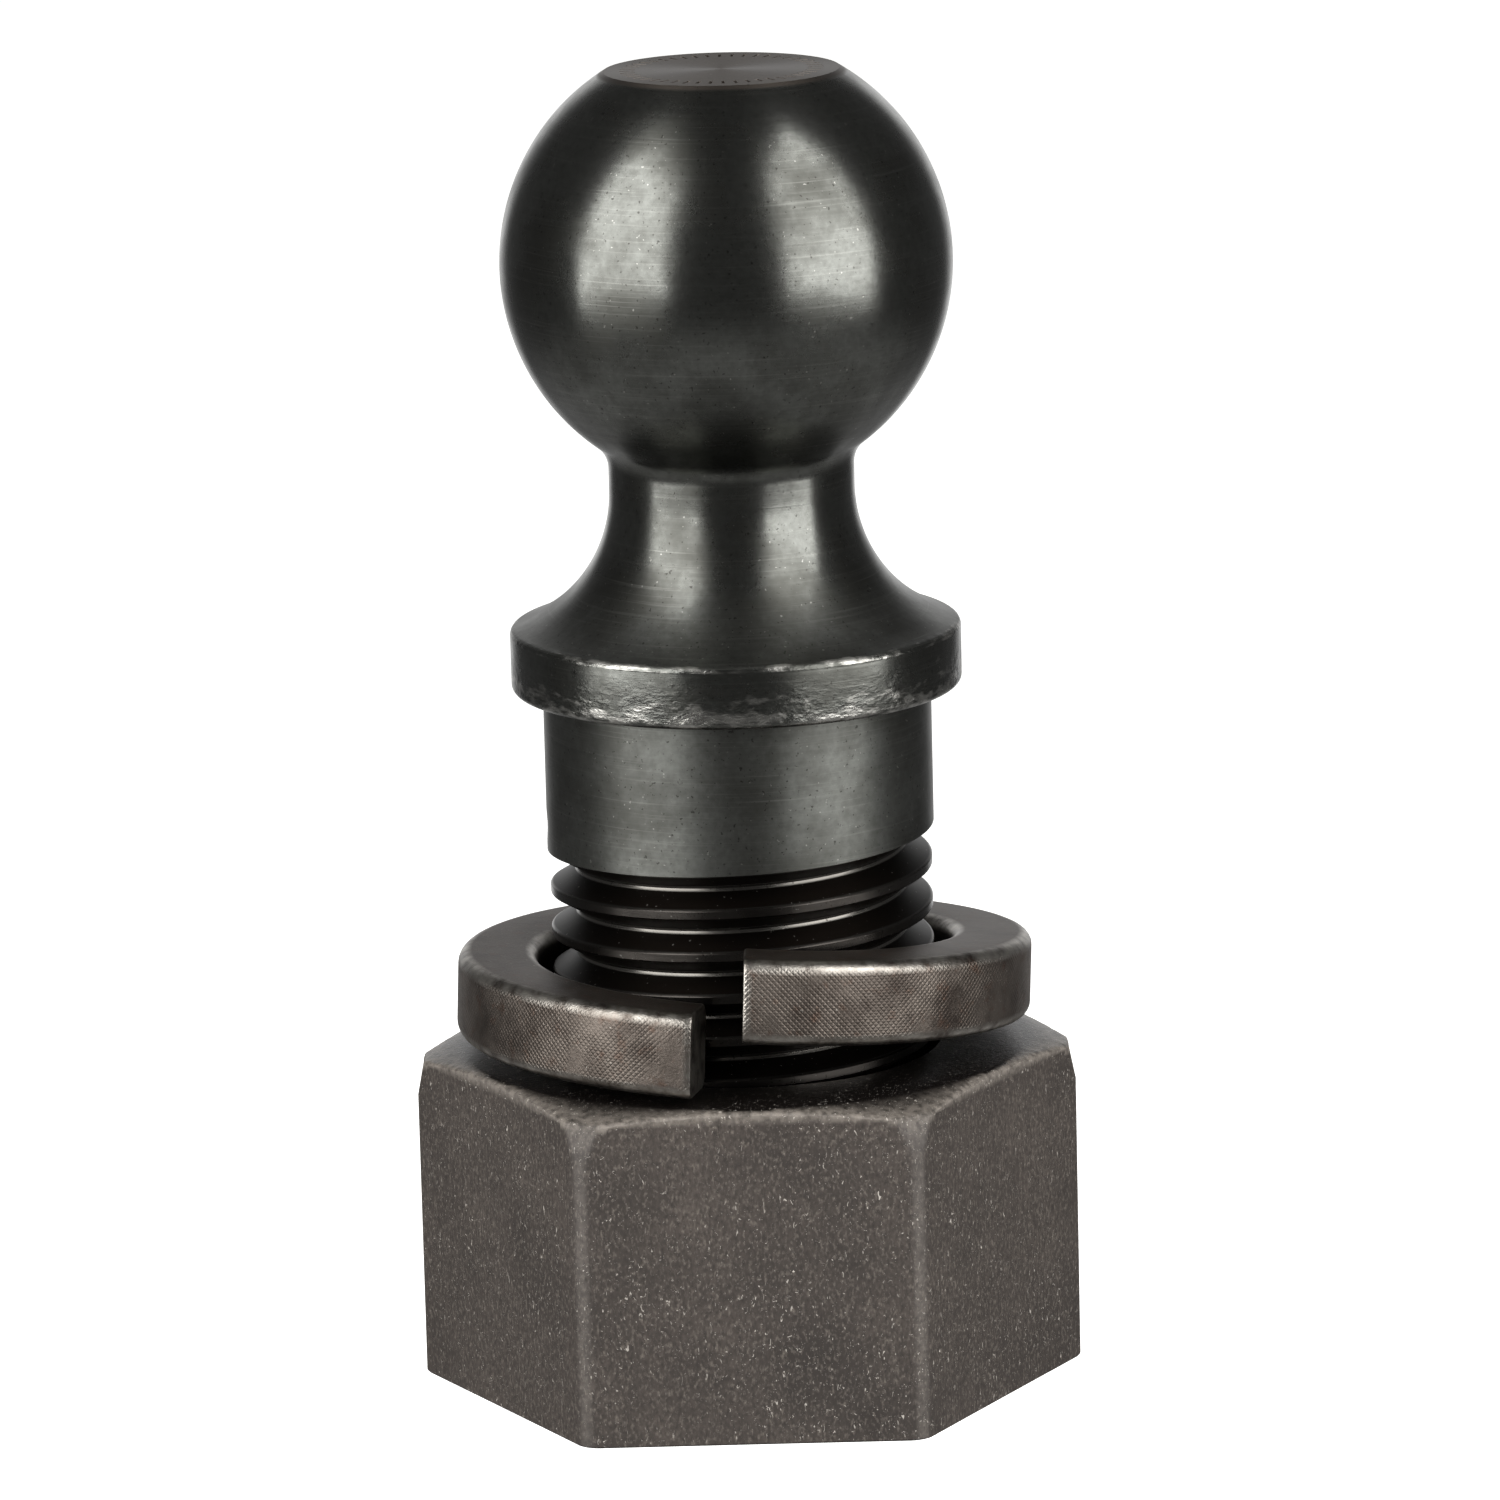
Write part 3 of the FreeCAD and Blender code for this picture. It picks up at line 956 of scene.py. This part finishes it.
    def dull(self, vert: bmesh.types.BMVert) -> float:
        """Tell how dull a point is.

        Args:
            vert: The point.

        Returns:
            1 on the top flat and the flanks, less on the plain shank and on the flange's top, else 0.
        """
        above = vert.co.z - self.rim_top()
        on_shank = vert.co.z < self.flange_bottom + MERGE
        plain = on_shank and abs(from_axis(vert) - self.shank_radius) < 0.05 * MM
        ledge = 1.0 - smooth_step(*self.ledge, above) if above > 0.0 else 0.0
        shank = self.shank_dull if plain else 0.0
        return max(self.flat(vert), self.flank(vert), shank, self.ledge_dull * ledge)


# Lock washer -----------------------------------------------------------------------------------------


@dataclass
class LockWasher:
    """A split lock washer: one turn of left-hand coil that lies loose and leaning on the nut."""

    outer_radius: float = 37.7 * MM
    width: float = 10.5 * MM
    thickness: float = 11.1 * MM
    edge_round: float = 1.8 * MM
    rise: float = 7.65 * MM
    turns: float = 0.9725
    heading: float = math.radians(259.4)
    tilt: float = math.radians(4.3)
    tilt_heading: float = math.radians(144.0)
    steps: int = 180
    end_bevel: float = 0.35 * MM
    finish: SpringSteel = field(default_factory=SpringSteel)

    def section(self) -> Profile:
        """Draw the coil's section.

        Returns:
            A rectangle with rounded corners, in order round its edge.
        """
        soft = self.edge_round
        inner = self.outer_radius - self.width
        points = arc((self.outer_radius - soft, soft), soft, -90.0, 0.0, 6)
        points += arc((self.outer_radius - soft, self.thickness - soft), soft, 0.0, 90.0, 6)
        points += arc((inner + soft, self.thickness - soft), soft, 90.0, 180.0, 6)
        points += arc((inner + soft, soft), soft, 180.0, 270.0, 6)
        return points

    def build(self) -> bpy.types.Object:
        """Model the washer as one closed mesh.

        Returns:
            The piece.
        """
        bm = bmesh.new()
        coil(bm, chain(bm, self.section(), closed=True), self.rise, self.turns, self.steps, Hand.LEFT)
        ends = [edge for edge in bm.edges if edge.is_boundary]
        caps = bmesh.ops.edgeloop_fill(bm, edges=ends)["faces"]
        rims = [edge for face in caps for edge in face.edges]
        bmesh.ops.bevel(
            bm, geom=rims, offset=self.end_bevel, segments=2, profile=0.5, affect="EDGES", material=-1
        )
        for amount in (self.edge, self.face, self.along, self.up):
            paint(bm, amount.__name__, amount)
        hinge = (math.cos(self.tilt_heading), math.sin(self.tilt_heading), 0.0)
        lean = Matrix.Rotation(self.tilt, 4, hinge)
        bmesh.ops.transform(bm, matrix=lean @ Matrix.Rotation(self.heading, 4, "Z"), verts=bm.verts[:])
        middle = lean @ Vector((0.0, 0.0, (self.thickness + self.rise * self.turns) / 2))
        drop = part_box("lock_washer")[0].z - min(vert.co.z for vert in bm.verts)
        bmesh.ops.translate(bm, vec=(-middle.x, -middle.y, drop), verts=bm.verts[:])
        return finish_mesh(bm, "lock_washer_coiled")

    def along(self, vert: bmesh.types.BMVert) -> float:
        """Measure how far along the coil a point is.

        Args:
            vert: The point, before the coil is turned and leant.

        Returns:
            The way round the outside from the coil's lower end.
        """
        slack = 0.001
        angle = (slack - math.atan2(vert.co.y, vert.co.x)) % math.tau - slack
        return angle * self.outer_radius

    def up(self, vert: bmesh.types.BMVert) -> float:
        """How far a point is above the coil's underside."""
        return vert.co.z - self.rise * self.along(vert) / self.outer_radius / math.tau

    def edge(self, vert: bmesh.types.BMVert) -> float:
        """Tell how bright a point is rubbed.

        Args:
            vert: The point, before the coil is turned and leant.

        Returns:
            1 on the rounded edges and round the cut ends, and 0 on the flat sides: wear and a painted
            highlight together.
        """
        across = self.width / 2 - abs(from_axis(vert) - self.outer_radius + self.width / 2)
        along = min(self.up(vert), self.thickness - self.up(vert))
        length = self.turns * math.tau * self.outer_radius
        end = min(self.along(vert), length - self.along(vert))
        return max(
            smooth_step(self.edge_round, self.edge_round / 2, max(across, along)),
            smooth_step(self.end_bevel * 2, self.end_bevel, end) if across > 0.0 < along else 0.0,
        )

    def face(self, vert: bmesh.types.BMVert) -> float:
        """1 on the outer face."""
        return 1.0 if from_axis(vert) > self.outer_radius - 0.1 * MM else 0.0


# Hex nut ---------------------------------------------------------------------------------------------


@dataclass
class HexNut:
    """The hex nut, with its sloping top corners, its thread and the mouths of its bore."""

    across_flats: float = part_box("hex_nut")[1].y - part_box("hex_nut")[0].y
    height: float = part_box("hex_nut")[1].z
    corner_radius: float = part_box("hex_nut")[1].x
    corner_round: float = 3.2 * MM
    top_circle: float = 37.0 * MM
    top_slope: float = math.radians(15.0)
    mouth_radius: float = 26.2 * MM
    mouth_rim: float = 0.8 * MM
    edge_bevel: float = 0.25 * MM
    burr_depth: float = 0.25 * MM
    burr_length: float = 1.6 * MM
    side_cuts: int = 100
    flare_height: float = 4.6 * MM
    flare_depth: float = 0.9 * MM
    flare_rings: int = 6
    # The shares below set how light the corner lines, the flares and the top edge are painted: wear and
    # painted highlight.
    line_share: float = 0.24
    flare_share: float = 0.6
    burr_share: float = 0.8
    finish: PhosphatedForging = field(default_factory=PhosphatedForging)
    thread: Thread = field(
        default_factory=lambda: Thread(
            pitch=PITCH,
            tip_radius=25.45 * MM,
            tip_width=1.13 * MM,
            crest_radius=22.6 * MM,
            crest_height=THREAD_START,
        )
    )

    def build_bore(self, bm: bmesh.types.BMesh) -> None:
        """Sweep the inner thread and open a mouth at each end of it.

        Args:
            bm: An empty mesh that gets it.
        """
        self.thread.sweep(bm, 0.0, self.height)
        for vert in bm.verts:
            depth = min(vert.co.z, self.height - vert.co.z)
            set_radius(vert, max(from_axis(vert), self.mouth_radius - max(0.0, depth)))
        cut_level(bm, 0.0, keep_above=True)
        cut_level(bm, self.height, keep_above=False)

    def outline(self, bm: bmesh.types.BMesh) -> list[bmesh.types.BMEdge]:
        """Draw the hexagon with rounded corners and many points along each side.

        Args:
            bm: The mesh that gets it.

        Returns:
            Its edges, just above the nut's bottom.
        """
        before = set(bm.edges)
        corner = self.across_flats / math.sqrt(3.0)
        lift = Matrix.Translation((0.0, 0.0, self.edge_bevel))
        place = lift @ Matrix.Rotation(math.radians(30.0), 4, "Z")
        ring = bmesh.ops.create_circle(bm, cap_ends=True, radius=corner, segments=6, matrix=place)["verts"]
        offset = self.corner_round * math.tan(math.radians(30.0))
        bmesh.ops.bevel(
            bm, geom=ring, offset=offset, segments=6, profile=0.5, affect="VERTICES", material=-1
        )
        drawn = [edge for edge in bm.edges if edge not in before]
        sides = [edge for edge in drawn if edge.calc_length() > self.corner_round]
        bmesh.ops.subdivide_edges(bm, edges=sides, cuts=self.side_cuts)
        drawn = [edge for edge in bm.edges if edge not in before]
        bmesh.ops.delete(bm, geom=list(drawn[0].link_faces), context="FACES_ONLY")
        return drawn

    def slope(self, radius: float) -> float:
        """Height of the nut's top at a radius: flat in its middle, and sloping down to the corners."""
        return self.height - max(0.0, radius - self.top_circle) * math.tan(self.top_slope)

    def burr(self, vert: bmesh.types.BMVert) -> float:
        """A small uneven dip of the top edge."""
        return self.burr_depth * abs(noise.noise(vert.co / self.burr_length))

    def build(self) -> bpy.types.Object:
        """Model the nut as one closed mesh.

        Returns:
            The piece.
        """
        bm = bmesh.new()
        self.build_bore(bm)
        sides = self.outline(bm)
        bevel = self.edge_bevel
        inner = self.mouth_radius + self.mouth_rim
        slope, burr = self.slope, self.burr
        lower = next_ring(bm, sides, lambda vert, radius: (radius - bevel, 0.0))
        next_ring(bm, lower, lambda vert, radius: (inner, 0.0))
        corner = max(from_axis(vert) for edge in sides for vert in edge.verts)
        rim = slope(corner - self.flare_depth) - bevel - self.burr_depth
        upper = sides
        for step in range(self.flare_rings + 1):
            share = step / self.flare_rings
            level = rim - self.flare_height * (1 - share)
            reach = corner - self.flare_depth * share
            upper = next_ring(bm, upper, lambda vert, radius: (min(radius, reach), level))
        upper = next_ring(bm, upper, lambda vert, radius: (radius, slope(radius) - bevel - burr(vert)))
        upper = next_ring(bm, upper, lambda vert, radius: (radius - bevel, slope(radius) - burr(vert) / 2))
        upper = next_ring(bm, upper, lambda vert, radius: (radius - 2 * bevel, slope(radius - 2 * bevel)))
        upper = next_ring(bm, upper, lambda vert, radius: (self.top_circle, self.height))
        next_ring(bm, upper, lambda vert, radius: (inner, self.height))
        for level in (0.0, self.height):
            bmesh.ops.bridge_loops(bm, edges=open_edges(bm, level))
        for amount in (self.edge, self.top):
            paint(bm, amount.__name__, amount)
        return finish_mesh(bm, "hex_nut_forged")

    def edge(self, vert: bmesh.types.BMVert) -> float:
        """Tell how bright a point is rubbed.

        Args:
            vert: The point.

        Returns:
            A share on the six corners, more on their flares and most along the top edge, else 0. It marks
            wear and a painted highlight together.
        """
        radius = from_axis(vert)
        if radius < self.top_circle + 0.5 * MM or vert.co.z < self.edge_bevel:
            return 0.0
        outermost = smooth_step(self.corner_radius - 0.15 * MM, self.corner_radius - 0.05 * MM, radius)
        from_corner = abs((math.degrees(math.atan2(vert.co.y, vert.co.x)) + 30.0) % 60.0 - 30.0)
        inset = self.across_flats / 2 - radius * math.cos(math.radians(30.0 - from_corner))
        below = self.slope(radius) - vert.co.z
        share = 1.0 - below / self.flare_height
        flare = self.flare_share * share if share > 0.0 and inset > 0.1 * MM else 0.0
        burr = self.burr_share if below < 0.6 * MM and inset < 0.35 * MM else 0.0
        return max(self.line_share * outermost, flare, burr)

    def top(self, vert: bmesh.types.BMVert) -> float:
        """1 on the top and in the bore: machined and oiled, and painted near black as painted shade under
        the washer and in the bore.
        """
        radius = from_axis(vert)
        near_top = self.slope(radius) - vert.co.z < 0.15 * MM
        return 1.0 if radius < self.mouth_radius + 1.0 * MM or near_top else 0.0


# Studio ----------------------------------------------------------------------------------------------


@dataclass(frozen=True)
class Softbox:
    """A tall rectangular soft light that stands beside the object and faces across it."""

    name: str
    side: int
    away: float = 1.0
    forward: float = 0.95
    rise: float = 1.0
    width: float = 1.5
    height: float = 2.4
    power: float = 52.0

    def build(self, target: Vector) -> None:
        """Stand the light beside its target.

        Args:
            target: The middle of what it lights.
        """
        lamp = bpy.data.lights.new(self.name, "AREA")
        lamp.shape = "RECTANGLE"
        lamp.size, lamp.size_y = self.width, self.height
        lamp.energy = self.power
        light = bpy.data.objects.new(self.name, lamp)
        light.location = target + Vector((self.side * self.away, -self.forward, self.rise))
        light.rotation_euler = Vector((-self.side, 0.0, 0.0)).to_track_quat("-Z", "Y").to_euler()
        bpy.context.scene.collection.objects.link(light)


@dataclass
class Studio:
    """A pale floor in a white room, two tall softboxes and the camera.

    Each pair of levels says where the room's light changes, as the Y or the Z of a direction of length 1.
    """

    target_height: float = 83.286 * MM
    target_side: float = 1.504 * MM
    distance: float = 1167.37 * MM
    pitch: float = math.radians(12.438)
    roll: float = math.radians(-1.434)
    focal_length: float = 213.91
    sensor: float = 36.0
    floor_size: float = 8.0
    floor_level: float = field(default_factory=lowest_travel)
    floor_colour: str = "#f6f6f4"
    floor_glow: float = 0.9
    dark_room: float = 0.105
    dim_floor: float = 0.42
    back_levels: tuple[float, float] = (0.86, 0.95)
    floor_levels: tuple[float, float] = (-0.35, -0.6)
    under_levels: tuple[float, float] = (-0.9, -0.98)
    under_share: float = 0.15
    boxes: tuple[Softbox, ...] = (
        Softbox("softbox_left", -1),
        Softbox("softbox_right", 1),
    )

    def build_camera(self) -> None:
        """Place the camera and make it the scene's."""
        look = Vector((0.0, math.cos(self.pitch), -math.sin(self.pitch)))
        place = Vector((self.target_side, 0.0, self.target_height)) - look * self.distance
        lens = bpy.data.cameras.new("camera")
        lens.lens = self.focal_length
        lens.sensor_width = self.sensor
        camera = bpy.data.objects.new("camera", lens)
        turn_down = Matrix.Rotation(math.pi / 2 - self.pitch, 4, "X")
        camera.matrix_world = Matrix.Translation(place) @ turn_down @ Matrix.Rotation(self.roll, 4, "Z")
        bpy.context.scene.collection.objects.link(camera)
        bpy.context.scene.camera = camera

    def build_floor(self) -> None:
        """Lay the floor, a matt white board that gives an even pale ground, as low as the nut can go.

        The metal doesn't mirror it, because the room's own light stands for it there.
        """
        bm = bmesh.new()
        level = Matrix.Translation((0.0, 0.0, self.floor_level))
        bmesh.ops.create_grid(bm, x_segments=1, y_segments=1, size=self.floor_size / 2, matrix=level)
        floor = finish_mesh(bm, "studio_floor")
        material, _, shader = blank_material("pale_floor")
        shader.inputs["Base Color"].default_value = colour(self.floor_colour)
        shader.inputs["Roughness"].default_value = 0.9
        shader.inputs["Specular IOR Level"].default_value = 0.0
        shader.inputs["Emission Color"].default_value = colour(self.floor_colour)
        shader.inputs["Emission Strength"].default_value = self.floor_glow
        floor.data.materials.append(material)
        floor.visible_glossy = False
        floor.visible_diffuse = False

    def build_room(self) -> None:
        """Light the room: white where it is seen, and in what the metal mirrors, white only at the back."""
        world = bpy.data.worlds.new("white_room")
        bpy.context.scene.world = world
        world.use_nodes = True
        tree = world.node_tree
        tree.nodes.clear()
        way = add_node(tree, "ShaderNodeTexCoord", output="Generated")
        back = add_node(tree, "ShaderNodeSeparateXYZ", {0: way}, output="Y")
        up = add_node(tree, "ShaderNodeSeparateXYZ", {0: way}, output="Z")
        behind, below, under = (
            add_node(tree, "ShaderNodeMapRange", {"Value": value, 1: start, 2: end, 3: near, 4: far})
            for value, (start, end), near, far in (
                (back, self.back_levels, self.dark_room, 1.0),
                (up, self.floor_levels, self.dark_room, self.dim_floor),
                (up, self.under_levels, 1.0, self.under_share),
            )
        )
        floor = add_node(tree, "ShaderNodeMath", {0: below, 1: under}, operation="MULTIPLY")
        seen = add_node(tree, "ShaderNodeLightPath", output="Is Camera Ray")
        glow = add_node(tree, "ShaderNodeMath", {0: behind, 1: floor}, operation="MAXIMUM")
        strength = add_node(tree, "ShaderNodeMath", {0: glow, 1: seen}, operation="MAXIMUM")
        inputs = {"Color": (1.0, 1.0, 1.0, 1.0), "Strength": strength}
        shade = add_node(tree, "ShaderNodeBackground", inputs)
        add_node(tree, "ShaderNodeOutputWorld", {"Surface": shade})

    def build(self) -> None:
        """Set up the whole studio."""
        bpy.context.scene.view_settings.view_transform = "Standard"
        self.build_camera()
        self.build_floor()
        self.build_room()
        for box in self.boxes:
            box.build(Vector((0.0, 0.0, self.target_height)))


def main() -> None:
    """Build the stud, the washer and the nut, and set them in the studio."""
    logging.basicConfig(level=logging.INFO, format="%(name)s: %(message)s")
    stud, washer, nut = BallStud(), LockWasher(), HexNut()
    dress(stud.build(), stud.finish, "stud", "ball_stud", Slot.STUD)
    dress(washer.build(), washer.finish, "washer", "lock_washer", Slot.WASHER)
    dress(nut.build(), nut.finish, "nut", "hex_nut", Slot.NUT)
    Studio().build()


if __name__ == "__main__":
    main()
